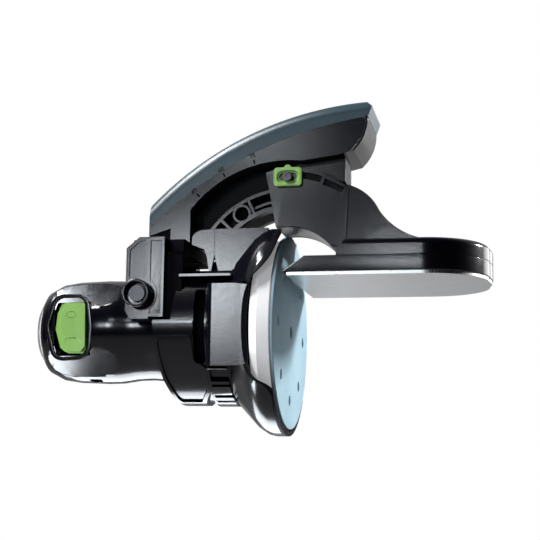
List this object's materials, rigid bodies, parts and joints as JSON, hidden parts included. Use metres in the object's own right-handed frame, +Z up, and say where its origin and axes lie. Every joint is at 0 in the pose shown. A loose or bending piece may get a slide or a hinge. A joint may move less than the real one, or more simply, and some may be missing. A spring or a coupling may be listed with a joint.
{
  "type": "edge sander",
  "caption": "Random-orbit sander held on its side in an angle guide, with a bow handle, a scale and a tilting table that keeps the disc at a set angle to a board's edge.",
  "frame": {"origin": "virtual pivot of the tilting table: where the abrasive face, the sole's plane and the middle plane meet", "axes": "+X out of the abrasive face along the table, +Z up away from the sole, -Y towards the side with the power switch"},
  "size_m": [0.2985, 0.1505, 0.2146],
  "materials": {
    "black_plastic": "fine-grained moulded plastic",
    "gloss_black": "smooth moulded housing",
    "grip_blue": "soft satin",
    "signal_green": "satin moulded plastic",
    "sole_aluminium": "brushed",
    "steel": "machined",
    "pad_grey": "smooth moulded",
    "abrasive_blue": "coated abrasive film",
    "hook_fabric": "hook layer",
    "black_rubber": "soft elastomer",
    "board": "circuit board",
    "grey_plastic": "glass-filled plastic"
  },
  "bodies": {
    "guide_frame": {"handle_body": "black_plastic", "handle_grip": "grip_blue", "handle_end_cap": "black_plastic", "arc_rail": "black_plastic", "rail_screws": "steel", "guide_block_near": "black_plastic", "guide_block_far": "black_plastic", "frame_bridge": "black_plastic", "handle_screws": "steel"},
    "height_knob": {"clamp_knob": "black_plastic", "knob_screw": "steel"},
    "table": {"sole_plate": "sole_aluminium", "sole_screws": "steel", "table_base": "black_plastic", "table_cover": "black_plastic", "segment_near": "black_plastic", "segment_far": "black_plastic", "segment_arch": "black_plastic", "guide_shoes": "grey_plastic", "table_web": "black_plastic", "web_screws": "steel", "pointer_screw": "steel"},
    "pointer": {"pointer_plate": "signal_green"},
    "angle_lock": {"lock_knob": "black_plastic", "lock_stud": "steel"},
    "carrier": {"clamp_upper": "black_plastic", "clamp_lower": "black_plastic", "clamp_bolts": "steel", "slide_rail_near": "black_plastic", "slide_rail_far": "black_plastic", "disc_shroud": "black_plastic", "shroud_rim": "black_rubber", "housing_near": "gloss_black", "housing_far": "gloss_black", "switch_bezel": "black_plastic", "circuit_board": "board", "stator": "steel", "bracket_rear": "grey_plastic", "bracket_front": "grey_plastic", "bearing_rear": "steel", "bearing_front": "steel", "fan_housing": "grey_plastic", "dust_skirt": "black_rubber", "dust_port": "black_rubber", "power_inlet": "black_plastic", "inlet_pins": "steel"},
    "power_rocker": {"power_switch": "signal_green"},
    "dial": {"speed_dial": "black_plastic"},
    "rotor": {"motor_shaft": "steel", "rotor_core": "steel", "fan": "grey_plastic", "counterweight": "steel", "eccentric": "steel", "pad_bearing": "steel"},
    "pad": {"pad_spindle": "steel", "pad_carrier": "pad_grey", "sanding_pad": "pad_grey", "hook_layer": "hook_fabric", "abrasive_disc": "abrasive_blue", "pad_screw": "steel"}
  },
  "joints": [
    {"name": "table_tilt", "type": "hinge", "parent": "guide_frame", "child": "table", "pos_m": [0, 0, 0], "axis": [0, -1, 0], "range_deg": [-2, 45]},
    {"name": "height_slide", "type": "slide", "parent": "guide_frame", "child": "carrier", "axis": [0, 0, 1], "range_m": [-0.02, 0]},
    {"name": "height_knob_turn", "type": "hinge", "parent": "guide_frame", "child": "height_knob", "pos_m": [-0.0895, -0.05, -0.0098], "axis": [0, 1, 0], "range_deg": [-270, 0]},
    {"name": "pointer_adjust", "type": "slide", "parent": "table", "child": "pointer", "axis": [1, 0, 0], "range_m": [-0.0015, 0.0015]},
    {"name": "angle_lock_turn", "type": "hinge", "parent": "table", "child": "angle_lock", "pos_m": [0.00606, 0.026, 0.05768], "axis": [0, 1, 0], "range_deg": [-270, 0]},
    {"name": "switch_rock", "type": "hinge", "parent": "carrier", "child": "power_rocker", "pos_m": [-0.1408, -0.027, -0.028], "axis": [1, 0, 0], "range_deg": [0, 8]},
    {"name": "dial_turn", "type": "hinge", "parent": "carrier", "child": "dial", "pos_m": [-0.154, 0.0215, -0.0285], "axis": [1, 0, 0], "range_deg": [0, 270]},
    {"name": "rotor_spin", "type": "hinge", "parent": "carrier", "child": "rotor", "pos_m": [0, 0, -0.0285], "axis": [1, 0, 0], "continuous": true},
    {"name": "pad_spin", "type": "hinge", "parent": "rotor", "child": "pad", "pos_m": [0, 0, -0.0295], "axis": [1, 0, 0], "continuous": true}
  ]
}
